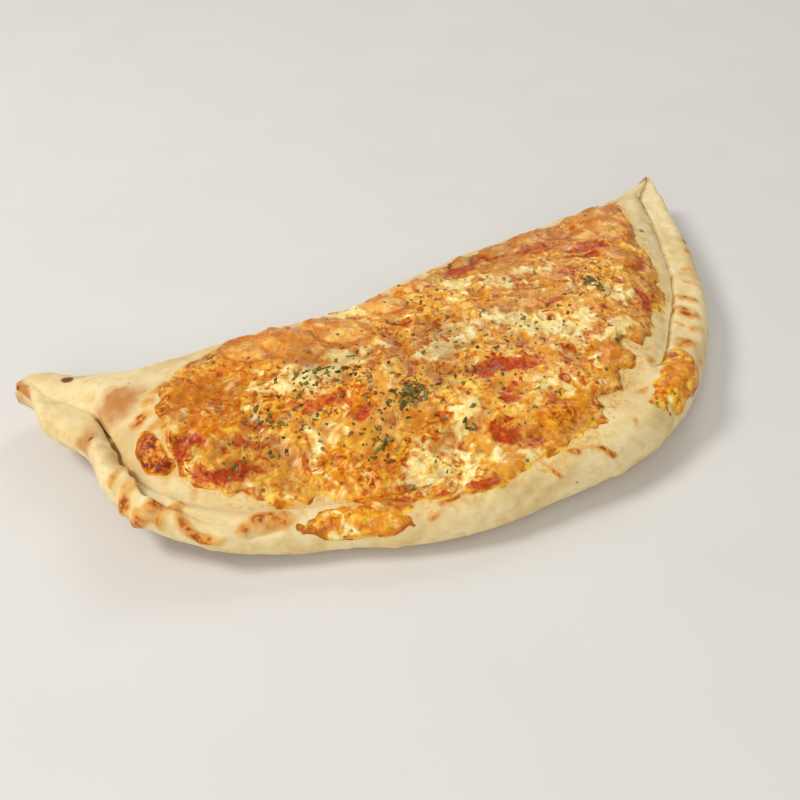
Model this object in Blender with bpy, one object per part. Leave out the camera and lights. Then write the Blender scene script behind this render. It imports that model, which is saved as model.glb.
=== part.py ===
"""A calzone: a disc of dough folded in half over its filling and baked.

The straight side is the fold and the curved side is the closed rim. The rim is rolled up and pinched on
the left, smooth in front on the right, and folded over as a flat lip up to the right horn. Melted cheese
and tomato sauce cover the top and run over the fold, and three patches of cheese baked on the rim.

Frame: +X along the fold from the left horn to the right horn, -Y towards the curved rim, +Z up. The
middle rests flat on z = 0 and both horns rise clear of it. The origin is under the middle of the box.
Lengths are in millimetres until the meshes are made, in metres.
"""
import math

import bpy
import numpy as np

MM = 0.001

# The fold seen from above: its outermost line, as (x, y) from the left horn's tip to the right one's.
FOLD_LINE = (
    (-167.5, -4.0), (-158.0, 2.0), (-141.0, -7.0), (-118.0, -15.0), (-85.0, -17.5), (-38.0, -25.0),
    (0.0, -19.0), (45.0, -15.0), (92.0, -12.5), (118.0, -15.5), (145.0, -13.0), (159.0, -8.5),
)
# The closed rim seen from above: its outermost line, as (degrees round from the left, radius).
RIM_LINE = (
    (1.4, 167.5), (5.0, 164.5), (11.0, 167.5), (18.0, 164.0), (25.0, 172.5), (32.0, 177.0), (40.0, 174.5),
    (48.0, 167.5), (56.0, 162.0), (62.0, 161.5), (72.0, 159.5), (84.0, 156.5), (96.0, 157.5),
    (110.0, 155.0), (120.0, 151.5), (132.0, 148.5), (145.0, 146.0), (158.0, 147.3), (168.0, 152.0),
    (176.9, 159.2),
)
# How thick the food is, each as (share of the way from the left horn to the right one, height).
FOLD_HEIGHT = (
    (0.0, 9.0), (0.08, 14.0), (0.2, 21.0), (0.35, 23.5), (0.6, 23.5), (0.78, 20.0), (0.9, 14.0), (1.0, 7.0),
)
CROWN_HEIGHT = (
    (0.0, 9.0), (0.06, 14.0), (0.14, 21.0), (0.25, 27.0), (0.4, 31.0), (0.6, 31.0), (0.75, 27.0),
    (0.87, 20.0), (0.95, 12.0), (1.0, 7.0),
)
RIM_HEIGHT = (
    (0.0, 9.0), (0.08, 13.0), (0.16, 15.0), (0.32, 16.0), (0.42, 19.0), (0.5, 22.0), (0.6, 23.0),
    (0.66, 21.0), (0.78, 17.0), (0.9, 12.0), (1.0, 7.0),
)
# The rim's width from its outermost line to its seam, and how deep the seam is cut.
RIM_WIDTH = (
    (0.0, 8.0), (0.05, 14.0), (0.09, 19.0), (0.125, 18.0), (0.17, 15.0), (0.3, 15.0), (0.42, 17.0),
    (0.5, 23.0), (0.57, 23.0), (0.62, 15.5), (0.68, 18.0), (0.8, 18.0), (0.93, 17.0), (1.0, 6.0),
)
CREASE_DEPTH = (
    (0.0, 0.0), (0.05, 0.8), (0.09, 1.6), (0.16, 1.0), (0.3, 0.6), (0.4, 0.0), (0.65, 0.0), (0.7, 1.4),
    (0.9, 1.4), (0.97, 0.8), (1.0, 0.0),
)
# How far the surface just inside the seam lies below the top of the rim.
INSIDE_DROP = (
    (0.0, 0.0), (0.05, 0.5), (0.1, 2.5), (0.16, 5.0), (0.3, 4.5), (0.4, 1.5), (0.48, -1.5), (0.58, -1.5),
    (0.64, 0.5), (0.9, 0.5), (1.0, 0.0),
)
SEAM_FLANK = 1.5
CROWN_FULLNESS = 0.9
FOLD_TOP_DEGREES = 70.0

# Where the underside leaves the resting plane towards each horn, and how high each tip ends.
LEFT_LIFT_START = -100.0
LEFT_LIFT = 12.0
RIGHT_LIFT_START = 75.0
RIGHT_LIFT = 17.0
LIFT_POWER = 1.5
TIP_ROUND = 7.0

# The pinched pleats of the rolled rim on the left.
PLEAT_START = 0.12
PLEAT_END = 0.30
PLEAT_PITCH = 0.03
PLEAT_RELIEF = 1.2

# The cheese and sauce: how far up the rim their near edge lies, and how far past the fold's top they end.
TOPPING_START = 0.175
TOPPING_END = 0.865
TOPPING_NEAR = (
    (0.175, 52.0), (0.185, 44.0), (0.2, 30.0), (0.23, 25.0), (0.27, 23.0), (0.31, 20.0), (0.335, 13.0),
    (0.45, 14.0), (0.5, 18.0), (0.54, 24.0), (0.58, 29.0), (0.62, 31.0), (0.7, 31.0), (0.73, 33.0),
    (0.775, 37.0), (0.815, 42.0), (0.865, 46.0),
)
TOPPING_FAR = (
    (0.175, -24.0), (0.19, -15.0), (0.21, -9.0), (0.235, -4.0), (0.27, -0.5), (0.5, 0.5), (0.75, -1.5),
    (0.84, -2.5), (0.865, -1.5),
)
TOPPING_THICKNESS = 2.0
TOPPING_EDGE_THICKNESS = 0.6
TOPPING_GAP = 0.7
TOPPING_LAST_STEPS_LENGTH = 3.0

# Patches of cheese baked on the rim: middle (share of the way, distance up the rim) and half sizes.
PATCHES = {
    "cheese_patch_left": (0.178, 32.0, 0.015, 7.0),
    "cheese_patch_front": (0.314, 6.5, 0.038, 5.5),
    "cheese_patch_right": (0.617, 10.5, 0.040, 8.0),
}
PATCH_THICKNESS = 1.6
PATCH_EDGE_THICKNESS = 0.5
PATCH_SPOKES = 18
PATCH_RINGS = 4

# Limits that keep the short sections near the horns well formed.
LARGEST_ROLL_SHARE = 0.56
LARGEST_FLANK_SHARE = 0.4
LARGEST_BACK_SHARE = 0.36
TINY = 1e-6
# Small steps that give the surface's direction: along the rim, as a share, and over it, in millimetres.
SMALL_PLACE_STEP = 0.002
SMALL_STEP = 0.5

STATIONS = 92
END_CROWDING = 0.6
RIM_STEPS = 9
ROLL_STEPS = 3
CROWN_STEPS = 9
FOLD_STEPS = 7
BASE_STEPS = 5
TOPPING_STATIONS = 48
TOPPING_TOP_STEPS = 11
TOPPING_CROWDING = 1.6
TOPPING_WRAP_STEPS = 3


def smooth_curve(points, at):
    """The value at one place on a smooth curve through (place, value) points, with no overshoot."""
    places = np.array([p[0] for p in points])
    values = np.array([p[1] for p in points])
    gaps = np.diff(places)
    rises = np.diff(values) / gaps
    slopes = np.concatenate([rises[:1], np.zeros(len(points) - 2), rises[-1:]])
    for k in range(1, len(points) - 1):
        if rises[k - 1] * rises[k] > 0:
            slopes[k] = 2 / (1 / rises[k - 1] + 1 / rises[k])
    i = int(np.clip(np.searchsorted(places, at) - 1, 0, len(places) - 2))
    u = min(max((at - places[i]) / gaps[i], 0.0), 1.0)
    start = (1 + 2 * u) * (1 - u) ** 2 * values[i] + u * (1 - u) ** 2 * gaps[i] * slopes[i]
    end = u * u * (3 - 2 * u) * values[i + 1] + u * u * (u - 1) * gaps[i] * slopes[i + 1]
    return float(start + end)


def fold_point(t):
    x = FOLD_LINE[0][0] + (FOLD_LINE[-1][0] - FOLD_LINE[0][0]) * t
    return np.array([x, smooth_curve(FOLD_LINE, x)])


def rim_point(t):
    degrees = RIM_LINE[0][0] + (RIM_LINE[-1][0] - RIM_LINE[0][0]) * t
    radius = smooth_curve(RIM_LINE, degrees)
    angle = math.radians(degrees)
    return np.array([-radius * math.cos(angle), -radius * math.sin(angle)])


def lift(x):
    """How far the underside stands above the resting plane at x."""
    left = max((LEFT_LIFT_START - x) / (LEFT_LIFT_START - FOLD_LINE[0][0]), 0.0)
    right = max((x - RIGHT_LIFT_START) / (FOLD_LINE[-1][0] - RIGHT_LIFT_START), 0.0)
    return LEFT_LIFT * left ** LIFT_POWER + RIGHT_LIFT * right ** LIFT_POWER


def pleat(t):
    """Ridges of the pinched rim, 0 to 1, dying out at both ends of the pinched stretch."""
    if t <= PLEAT_START or t >= PLEAT_END:
        return 0.0
    fade = math.sin(math.pi * (t - PLEAT_START) / (PLEAT_END - PLEAT_START))
    return fade * (0.5 + 0.5 * math.cos(2 * math.pi * (t - PLEAT_START) / PLEAT_PITCH))


class Section:
    """The upright section of the food between one point of the rim and one of the fold."""

    def __init__(self, t):
        self.rim = rim_point(t)
        self.fold = fold_point(t)
        self.length = float(np.linalg.norm(self.fold - self.rim))
        # Towards a tip, the section shrinks to a rounded end.
        near = min(self.length / TIP_ROUND, 1.0)
        shrink = math.sqrt(near * (2.0 - near))
        self.fold_high = smooth_curve(FOLD_HEIGHT, t) * shrink
        self.crown = smooth_curve(CROWN_HEIGHT, t) * shrink
        self.rim_high = (smooth_curve(RIM_HEIGHT, t) + PLEAT_RELIEF * pleat(t)) * shrink
        self.crease = smooth_curve(CREASE_DEPTH, t) * shrink
        self.drop = smooth_curve(INSIDE_DROP, t) * shrink
        self.roll = min(smooth_curve(RIM_WIDTH, t), LARGEST_ROLL_SHARE * self.length)
        self.half_roll = 0.5 * self.roll
        self.flank = min(SEAM_FLANK, LARGEST_FLANK_SHARE * self.half_roll)
        self.back = min(0.5 * self.fold_high, LARGEST_BACK_SHARE * self.length)
        self.crown_end, self.crown_end_high = self.over_fold(FOLD_TOP_DEGREES)

    def place(self, inward, height):
        """The 3D point at a distance inward from the rim and a height above the underside."""
        xy = self.rim + (self.fold - self.rim) * (inward / max(self.length, TINY))
        return (xy[0], xy[1], height + lift(xy[0]))

    def round_rim(self, degrees):
        """The rim's rounded outside: -90 degrees is the underside, 0 the outermost line, 90 its top."""
        angle = math.radians(degrees)
        return self.half_roll * (1 - math.cos(angle)), 0.5 * self.rim_high * (1 + math.sin(angle))

    def top(self, inward):
        """Height of the upper surface from the top of the rim to the top of the fold."""
        inside = self.rim_high - self.drop
        if inward < self.roll:
            u = (inward - self.half_roll) / self.half_roll
            height = self.rim_high - self.drop * u * u
        else:
            v = min((inward - self.roll) / max(self.crown_end - self.roll, TINY), 1.0)
            middle = 0.5 * (inside + self.crown_end_high)
            dome = max(math.sin(math.pi * v), 0.0) ** CROWN_FULLNESS
            height = inside + (self.crown_end_high - inside) * v + (self.crown - middle) * dome
        from_seam = abs(inward - self.roll) / self.flank
        return height - self.crease * max(1.0 - from_seam, 0.0)

    def over_fold(self, degrees):
        """The fold's rounded back: 90 degrees is its top, 0 its outermost line, -90 the underside."""
        angle = math.radians(degrees)
        inward = self.length - self.back + self.back * math.cos(angle)
        return inward, 0.5 * self.fold_high * (1 + math.sin(angle))

    def over_top(self, distance):
        """The surface point at a distance from the rim's outermost line, over the top and down the fold."""
        quarter = 0.5 * math.pi * self.half_roll
        inward = self.half_roll + distance - quarter
        if distance < quarter:
            return self.place(*self.round_rim(90.0 * distance / quarter))
        if inward < self.crown_end:
            return self.place(inward, self.top(inward))
        past = math.degrees((inward - self.crown_end) / self.back)
        return self.place(*self.over_fold(FOLD_TOP_DEGREES - past))

    def up_to_fold(self):
        """The distance over the top from the rim's outermost line to the top of the fold."""
        return 0.5 * math.pi * self.half_roll + self.crown_end - self.half_roll

    def outline(self):
        """The whole closed outline, from the underside round the rim, over the top and down the fold."""
        points = []
        for i in range(RIM_STEPS):
            points.append(self.round_rim(-90.0 + 180.0 * i / (RIM_STEPS - 1)))
        near_seam = self.roll - self.flank
        past_seam = self.roll + self.flank
        to_seam = near_seam - self.half_roll
        inwards = [self.half_roll + to_seam * i / ROLL_STEPS for i in range(1, ROLL_STEPS + 1)]
        inwards.append(self.roll)
        to_fold = self.crown_end - past_seam
        inwards += [past_seam + to_fold * i / CROWN_STEPS for i in range(CROWN_STEPS)]
        points += [(inward, self.top(inward)) for inward in inwards]
        fold_turn = FOLD_TOP_DEGREES + 90.0
        for i in range(FOLD_STEPS):
            points.append(self.over_fold(FOLD_TOP_DEGREES - fold_turn * i / (FOLD_STEPS - 1)))
        base = self.length - self.back
        for i in range(1, BASE_STEPS):
            points.append((base + (self.half_roll - base) * i / BASE_STEPS, 0.0))
        return [self.place(inward, height) for inward, height in points]


def station_places(count):
    """Places from horn to horn, closer together towards both ends."""
    steps = [i / (count - 1) for i in range(count)]
    return [u - END_CROWDING * math.sin(2 * math.pi * u) / (2 * math.pi) for u in steps]


def new_solid(name, points, faces, material):
    mesh = bpy.data.meshes.new(name)
    mesh.from_pydata([tuple(float(c) * MM for c in p) for p in points], [], faces)
    mesh.materials.append(material)
    mesh.shade_smooth()
    solid = bpy.data.objects.new(name, mesh)
    bpy.context.scene.collection.objects.link(solid)
    return solid


def make_dough(material):
    """The folded dough, one closed body of sections from horn to horn, with a point at each tip."""
    rings = [Section(t).outline() for t in station_places(STATIONS)[1:-1]]
    points = [p for ring in rings for p in ring]
    for (x, y), thick in ((FOLD_LINE[0], FOLD_HEIGHT[0][1]), (FOLD_LINE[-1], FOLD_HEIGHT[-1][1])):
        points.append((x, y, lift(x) + 0.5 * thick))
    size = len(rings[0])
    left_tip = len(rings) * size
    right_tip = left_tip + 1
    last_ring = left_tip - size
    faces = []
    for j in range(size):
        k = (j + 1) % size
        faces.append((left_tip, j, k))
        faces.append((right_tip, last_ring + k, last_ring + j))
        for start in range(0, last_ring, size):
            faces.append((start + k, start + j, start + size + j, start + size + k))
    return new_solid("dough", points, faces, material)


def topping_row(t):
    """Points of the dough's surface under the cheese, from its near edge to its far one."""
    section = Section(t)
    near = smooth_curve(TOPPING_NEAR, t)
    far = section.up_to_fold() + smooth_curve(TOPPING_FAR, t)
    bend = min(section.up_to_fold(), far - TOPPING_LAST_STEPS_LENGTH)
    shares = [(i / TOPPING_TOP_STEPS) ** TOPPING_CROWDING for i in range(TOPPING_TOP_STEPS)]
    distances = [near + (bend - near) * share for share in shares]
    distances += [bend + (far - bend) * i / TOPPING_WRAP_STEPS for i in range(TOPPING_WRAP_STEPS + 1)]
    return [section.over_top(distance) for distance in distances]


def upward_normals(grid):
    normals = np.cross(np.gradient(grid, axis=0), np.gradient(grid, axis=1))
    return normals / np.linalg.norm(normals, axis=2, keepdims=True) * np.sign(normals[:, :, 2].mean())


def make_topping(material):
    """The cheese and sauce: a thin sheet that follows the dough and thins out at its edge."""
    shares = station_places(TOPPING_STATIONS)
    places = [TOPPING_START + (TOPPING_END - TOPPING_START) * share for share in shares]
    surface = np.array([topping_row(t) for t in places])
    normals = upward_normals(surface)
    rows, columns = surface.shape[:2]
    thickness = np.full((rows, columns, 1), TOPPING_EDGE_THICKNESS)
    thickness[1:-1, 1:-1] = TOPPING_THICKNESS
    low = surface + normals * TOPPING_GAP
    high = low + normals * thickness
    points = np.concatenate([low.reshape(-1, 3), high.reshape(-1, 3)])
    step = rows * columns
    faces = []
    for a in [i * columns + j for i in range(rows - 1) for j in range(columns - 1)]:
        quad = (a, a + columns, a + columns + 1, a + 1)
        faces.append(quad[::-1])
        faces.append(tuple(q + step for q in quad))
    border = list(range(columns - 1))
    border += [i * columns + columns - 1 for i in range(rows - 1)]
    border += [(rows - 1) * columns + j for j in range(columns - 1, 0, -1)]
    border += [i * columns for i in range(rows - 1, 0, -1)]
    for a, b in zip(border, border[1:] + border[:1]):
        faces.append((b, a, a + step, b + step))
    return new_solid("cheese_and_sauce", points, faces, material)


def rim_normal(t, up):
    """The outward direction of the dough's surface at a distance up the rim."""
    before = np.array(Section(t - SMALL_PLACE_STEP).over_top(up))
    after = np.array(Section(t + SMALL_PLACE_STEP).over_top(up))
    below = np.array(Section(t).over_top(up - SMALL_STEP))
    above = np.array(Section(t).over_top(up + SMALL_STEP))
    normal = np.cross(after - before, above - below)
    return normal / np.linalg.norm(normal)


def make_patch(name, middle, up, half_share, half_width, material):
    """A patch of cheese that follows the rim, thickest in its middle."""
    spots = [(middle, up, 0.0)]
    for ring in range(1, PATCH_RINGS + 1):
        reach = ring / PATCH_RINGS
        for spoke in range(PATCH_SPOKES):
            angle = 2 * math.pi * spoke / PATCH_SPOKES
            place = middle + half_share * reach * math.cos(angle)
            distance = up + half_width * reach * math.sin(angle)
            spots.append((place, distance, reach))
    low = []
    high = []
    for t, distance, reach in spots:
        surface = np.array(Section(t).over_top(distance))
        normal = rim_normal(t, distance)
        thickness = PATCH_EDGE_THICKNESS + (PATCH_THICKNESS - PATCH_EDGE_THICKNESS) * (1 - reach ** 3)
        low.append(surface + normal * TOPPING_GAP)
        high.append(surface + normal * (TOPPING_GAP + thickness))
    step = len(spots)
    faces = []
    for j in range(PATCH_SPOKES):
        k = (j + 1) % PATCH_SPOKES
        faces.append((0, 1 + k, 1 + j))
        faces.append((step, step + 1 + j, step + 1 + k))
        for ring in range(PATCH_RINGS - 1):
            a = 1 + ring * PATCH_SPOKES
            b = a + PATCH_SPOKES
            faces.append((a + j, a + k, b + k, b + j))
            faces.append((step + a + k, step + a + j, step + b + j, step + b + k))
        rim = 1 + (PATCH_RINGS - 1) * PATCH_SPOKES
        faces.append((rim + j, rim + k, step + rim + k, step + rim + j))
    return new_solid(name, low + high, faces, material)


def make_material(name, colour, roughness):
    material = bpy.data.materials.new(name)
    material.use_nodes = True
    shader = material.node_tree.nodes["Principled BSDF"]
    shader.inputs["Base Color"].default_value = (*colour, 1.0)
    shader.inputs["Roughness"].default_value = roughness
    shader.inputs["Metallic"].default_value = 0.0
    return material


def clear_scene():
    for old in list(bpy.data.objects):
        bpy.data.objects.remove(old, do_unlink=True)


def centre_over_origin(solids):
    """Move the meshes so that the middle of their common box stands over the origin."""
    corners = np.array([v.co[:] for solid in solids for v in solid.data.vertices])
    low = corners.min(axis=0)
    high = corners.max(axis=0)
    for solid in solids:
        for vertex in solid.data.vertices:
            vertex.co.x -= 0.5 * (low[0] + high[0])
            vertex.co.y -= 0.5 * (low[1] + high[1])
            vertex.co.z -= low[2]


def main():
    clear_scene()
    dough = make_dough(make_material("baked_dough", (0.78, 0.62, 0.42), 0.6))
    cheese = make_material("melted_cheese", (0.72, 0.32, 0.08), 0.4)
    solids = [dough, make_topping(cheese)]
    for name, (middle, up, half_share, half_width) in PATCHES.items():
        solids.append(make_patch(name, middle, up, half_share, half_width, cheese))
    centre_over_origin(solids)


main()
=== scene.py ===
"""The looks of the calzone: baked dough, its melted cheese and sauce, and dried herbs."""
import math

import bpy
import numpy as np
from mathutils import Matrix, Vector


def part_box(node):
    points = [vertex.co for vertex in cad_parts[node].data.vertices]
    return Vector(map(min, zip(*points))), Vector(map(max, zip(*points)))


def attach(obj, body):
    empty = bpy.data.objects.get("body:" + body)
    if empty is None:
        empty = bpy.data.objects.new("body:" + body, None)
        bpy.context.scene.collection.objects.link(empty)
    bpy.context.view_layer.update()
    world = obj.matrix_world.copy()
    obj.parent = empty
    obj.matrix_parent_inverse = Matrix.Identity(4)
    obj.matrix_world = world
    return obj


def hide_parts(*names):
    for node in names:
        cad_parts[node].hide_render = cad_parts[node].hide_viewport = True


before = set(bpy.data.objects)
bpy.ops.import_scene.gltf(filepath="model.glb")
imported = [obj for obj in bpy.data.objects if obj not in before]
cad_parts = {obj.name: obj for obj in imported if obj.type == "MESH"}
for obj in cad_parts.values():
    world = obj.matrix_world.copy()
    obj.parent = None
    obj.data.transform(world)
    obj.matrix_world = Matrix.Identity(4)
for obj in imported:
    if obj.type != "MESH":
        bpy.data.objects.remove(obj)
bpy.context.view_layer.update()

MM = 0.001
TINY = 1e-9

# ---- form
# Seen from above, in millimetres: the fold as (x, y), and the rim as (degrees from the left, radius).
FOLD_LINE = (
    (-167.5, -4), (-158, 2), (-141, -7), (-118, -15), (-85, -17.5), (-38, -25), (0, -19), (45, -15),
    (92, -12.5), (118, -15.5), (145, -13), (159, -8.5),
)
RIM_LINE = (
    (1.4, 167.5), (5, 164.5), (11, 167.5), (18, 164), (25, 172.5), (32, 177), (40, 174.5), (48, 167.5),
    (56, 162), (62, 161.5), (72, 159.5), (84, 156.5), (96, 157.5), (110, 155), (120, 151.5), (132, 148.5),
    (145, 146), (158, 147.3), (168, 152), (176.9, 159.2),
)
# Heights and widths along the calzone, by place: 0 is the left horn and 1 the right one.
FOLD_HEIGHT = (
    (0, 9), (0.08, 14), (0.2, 21), (0.35, 23.5), (0.6, 23.5), (0.78, 20), (0.9, 14), (1, 7),
)
CROWN_HEIGHT = (
    (0, 9), (0.06, 14), (0.14, 21), (0.25, 27), (0.4, 31), (0.6, 31), (0.75, 27), (0.87, 20), (0.95, 12),
    (1, 7),
)
RIM_HEIGHT = (
    (0, 9), (0.08, 13), (0.16, 15), (0.32, 16), (0.42, 19), (0.5, 22), (0.6, 23), (0.66, 21), (0.78, 17),
    (0.9, 12), (1, 7),
)
RIM_WIDTH = (
    (0, 8), (0.05, 14), (0.09, 19), (0.125, 18), (0.17, 15), (0.3, 15), (0.42, 17), (0.5, 23), (0.57, 23),
    (0.62, 15.5), (0.68, 18), (0.8, 18), (0.93, 17), (1, 6),
)
INSIDE_DROP = (
    (0, 0), (0.05, 0.5), (0.1, 2.5), (0.16, 5), (0.3, 4.5), (0.4, 1.5), (0.48, -1.5), (0.58, -1.5),
    (0.64, 0.5), (0.9, 0.5), (1, 0),
)
CROWN_FULLNESS = 0.9
FOLD_TOP_DEGREES = 70.0
# The most of the width that the rim's roll and the round of the fold take up.
LARGEST_ROLL_SHARE = 0.56
LARGEST_BACK_SHARE = 0.36
# How far both horns are raised off the table, and where each starts to rise.
LEFT_LIFT_START = -100.0
LEFT_LIFT = 12.0
RIGHT_LIFT_START = 75.0
RIGHT_LIFT = 17.0
LIFT_POWER = 1.5
# Where the rim and the fold are closer together than this, the horn rounds off to its tip.
TIP_ROUND = 7.0
# The rim is about this long from place 0 to place 1.
RIM_LENGTH = 490.0

# The sheet of cheese: its first and last place, its edge over the rim, and its edge past the fold's top.
TOPPING_START = 0.175
TOPPING_END = 0.865
TOPPING_NEAR = (
    (0.175, 52), (0.185, 44), (0.2, 30), (0.23, 25), (0.27, 23), (0.31, 20), (0.335, 13), (0.45, 14),
    (0.5, 18), (0.54, 24), (0.58, 29), (0.62, 31), (0.7, 31), (0.73, 33), (0.775, 37), (0.815, 42),
    (0.865, 46),
)
TOPPING_FAR = (
    (0.175, -24), (0.19, -15), (0.21, -9), (0.235, -4), (0.27, -0.5), (0.5, 0.5), (0.75, -1.5), (0.84, -2.5),
    (0.865, -1.5),
)

# The melted edge at the fold lies this far inside TOPPING_FAR.
FOLD_MARGIN = 3.5
# Millimetres to a whole place, for the distance from the cheese's first and last place.
END_SCALE = 400.0


def curve(points, at):
    """Values on a smooth curve through (place, value) points, with no overshoot."""
    places = np.array([p[0] for p in points])
    values = np.array([p[1] for p in points])
    gaps = np.diff(places)
    rises = np.diff(values) / gaps
    slopes = np.concatenate([rises[:1], np.zeros(len(points) - 2), rises[-1:]])
    for k in range(1, len(points) - 1):
        if rises[k - 1] * rises[k] > 0:
            slopes[k] = 2 / (1 / rises[k - 1] + 1 / rises[k])
    i = np.clip(np.searchsorted(places, at) - 1, 0, len(places) - 2)
    u = np.clip((at - places[i]) / gaps[i], 0.0, 1.0)
    start = (1 + 2 * u) * (1 - u) ** 2 * values[i] + u * (1 - u) ** 2 * gaps[i] * slopes[i]
    end = u * u * (3 - 2 * u) * values[i + 1] + u * u * (u - 1) * gaps[i] * slopes[i + 1]
    return start + end


def lift(x):
    """How far the underside is raised off the table at x."""
    left = np.maximum((LEFT_LIFT_START - x) / (LEFT_LIFT_START - FOLD_LINE[0][0]), 0.0)
    right = np.maximum((x - RIGHT_LIFT_START) / (FOLD_LINE[-1][0] - RIGHT_LIFT_START), 0.0)
    return LEFT_LIFT * left ** LIFT_POWER + RIGHT_LIFT * right ** LIFT_POWER


def rim_line(t):
    """Points of the rim, seen from above, at places t."""
    degrees = RIM_LINE[0][0] + (RIM_LINE[-1][0] - RIM_LINE[0][0]) * t
    radius = curve(RIM_LINE, degrees)
    angle = np.radians(degrees)
    return np.stack([-radius * np.cos(angle), -radius * np.sin(angle)], axis=-1)


def fold_line(t):
    """Points of the fold, seen from above, at places t."""
    x = FOLD_LINE[0][0] + (FOLD_LINE[-1][0] - FOLD_LINE[0][0]) * t
    return np.stack([x, curve(FOLD_LINE, x)], axis=-1)


class Form:
    """The plain form of the food along a set of places t, one upright section to each."""

    def __init__(self, t):
        self.t = np.asarray(t, float).reshape(-1, 1)
        t = self.t[:, 0]
        self.rim = rim_line(t)[:, None, :]
        self.fold = fold_line(t)[:, None, :]
        self.length = np.linalg.norm(self.fold - self.rim, axis=2)
        near = np.minimum(self.length / TIP_ROUND, 1.0)
        shrink = np.sqrt(near * (2.0 - near))

        def column(points):
            return curve(points, t)[:, None]

        self.fold_high = column(FOLD_HEIGHT) * shrink
        self.crown = column(CROWN_HEIGHT) * shrink
        self.rim_high = column(RIM_HEIGHT) * shrink
        self.drop = column(INSIDE_DROP) * shrink
        self.roll = np.minimum(column(RIM_WIDTH), LARGEST_ROLL_SHARE * self.length)
        self.half_roll = 0.5 * self.roll
        self.back = np.minimum(0.5 * self.fold_high, LARGEST_BACK_SHARE * self.length)
        top = math.radians(FOLD_TOP_DEGREES)
        self.crown_end = self.length - self.back + self.back * math.cos(top)
        self.crown_end_high = 0.5 * self.fold_high * (1 + math.sin(top))
        self.quarter = 0.5 * math.pi * self.half_roll
        self.seam = self.quarter + self.half_roll
        self.to_fold = self.quarter + self.crown_end - self.half_roll
        self.round_back = self.to_fold + self.back * math.radians(FOLD_TOP_DEGREES + 90.0)

    def top(self, inward):
        """Height of the roll and the crown at distances inward from the rim's outline."""
        inside = self.rim_high - self.drop
        u = (inward - self.half_roll) / self.half_roll
        v = np.clip((inward - self.roll) / np.maximum(self.crown_end - self.roll, TINY), 0.0, 1.0)
        middle = 0.5 * (inside + self.crown_end_high)
        dome = np.maximum(np.sin(np.pi * v), 0.0) ** CROWN_FULLNESS
        crown = inside + (self.crown_end_high - inside) * v + (self.crown - middle) * dome
        return np.where(inward < self.roll, self.rim_high - self.drop * u * u, crown)

    def points(self, m):
        """Points at distances m from the rim's outermost line, over the top; below 0 goes under the rim."""
        inward = self.half_roll + m - self.quarter
        angle = 0.5 * np.pi * m / self.quarter
        past = np.radians(FOLD_TOP_DEGREES) - (inward - self.crown_end) / self.back
        past = np.maximum(past, -0.5 * np.pi)
        on_rim = m < self.quarter
        on_fold = inward > self.crown_end
        across = np.where(on_rim, self.half_roll * (1 - np.cos(angle)), inward)
        across = np.where(on_fold, self.length - self.back + self.back * np.cos(past), across)
        high = np.where(on_rim, 0.5 * self.rim_high * (1 + np.sin(angle)), self.top(inward))
        high = np.where(on_fold, 0.5 * self.fold_high * (1 + np.sin(past)), high)
        return self.place(across, high)

    def place(self, inward, height):
        """Points at distances inward from the rim's outline and at heights over the underside."""
        share = (inward / np.maximum(self.length, TINY))[:, :, None]
        xy = self.rim + (self.fold - self.rim) * share
        return np.concatenate([xy, (height + lift(xy[:, :, 0]))[:, :, None]], axis=2)


# The rim's outline is searched for its lowest y at this many points.
OUTLINE_POINTS = 2001


def form_shift():
    """From the form's own frame to the row frame, in millimetres."""
    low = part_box("dough")[0]
    outline = rim_line(np.linspace(0.0, 1.0, OUTLINE_POINTS))
    return np.array([low.x / MM - FOLD_LINE[0][0], low.y / MM - outline[:, 1].min(), low.z / MM])


SHIFT = form_shift()

# ---- noise and marks
# The noise picks its slopes from a shuffled table, whose size is a power of two.
NOISE_SEED = 11
TABLE = np.random.default_rng(NOISE_SEED).permutation(256)
LAST_SLOT = len(TABLE) - 1
SIGNS = (-1, 0, 1)
DIRECTIONS = np.array(
    [(x, y, z) for x in SIGNS for y in SIGNS for z in SIGNS if abs(x) + abs(y) + abs(z) == 2], float,
)
# How far each next seed moves the noise.
SEED_STEP = np.array([17.31, 31.73, 47.17])


def noise(points, size, seed):
    """Smooth noise, mostly from -0.7 to 0.7, with features about size across."""
    p = points / size + seed * SEED_STEP
    cell = np.floor(p).astype(int)
    f = p - cell
    w = f * f * f * (f * (f * 6 - 15) + 10)
    total = 0.0
    for corner in [(i, j, k) for i in (0, 1) for j in (0, 1) for k in (0, 1)]:
        c = (cell + corner) & LAST_SLOT
        pick = TABLE[(TABLE[(TABLE[c[..., 0]] + c[..., 1]) & LAST_SLOT] + c[..., 2]) & LAST_SLOT]
        slope = DIRECTIONS[pick % len(DIRECTIONS)]
        share = np.where(corner, w, 1 - w).prod(axis=-1)
        total = total + share * (slope * (f - corner)).sum(axis=-1)
    return total


def sideways(points, size, seed):
    """A sideways shift in x and y from two noises, with seeds seed and seed + 1."""
    return np.stack([noise(points, size, seed), noise(points, size, seed + 1)], axis=-1)


def ridged(points, size, seed, depth=2.2):
    """Noise folded into rounded ridges up to 1 high."""
    return 1.0 - depth * np.abs(noise(points, size, seed))


def bell(x, width):
    """1 at x = 0, falling smoothly to nothing some widths away."""
    return np.exp(-((x / width) ** 2))


def step(a, b, x):
    """0 at a and 1 at b, smooth between."""
    u = np.clip((x - a) / (b - a), 0.0, 1.0)
    return u * u * (3 - 2 * u)


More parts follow.
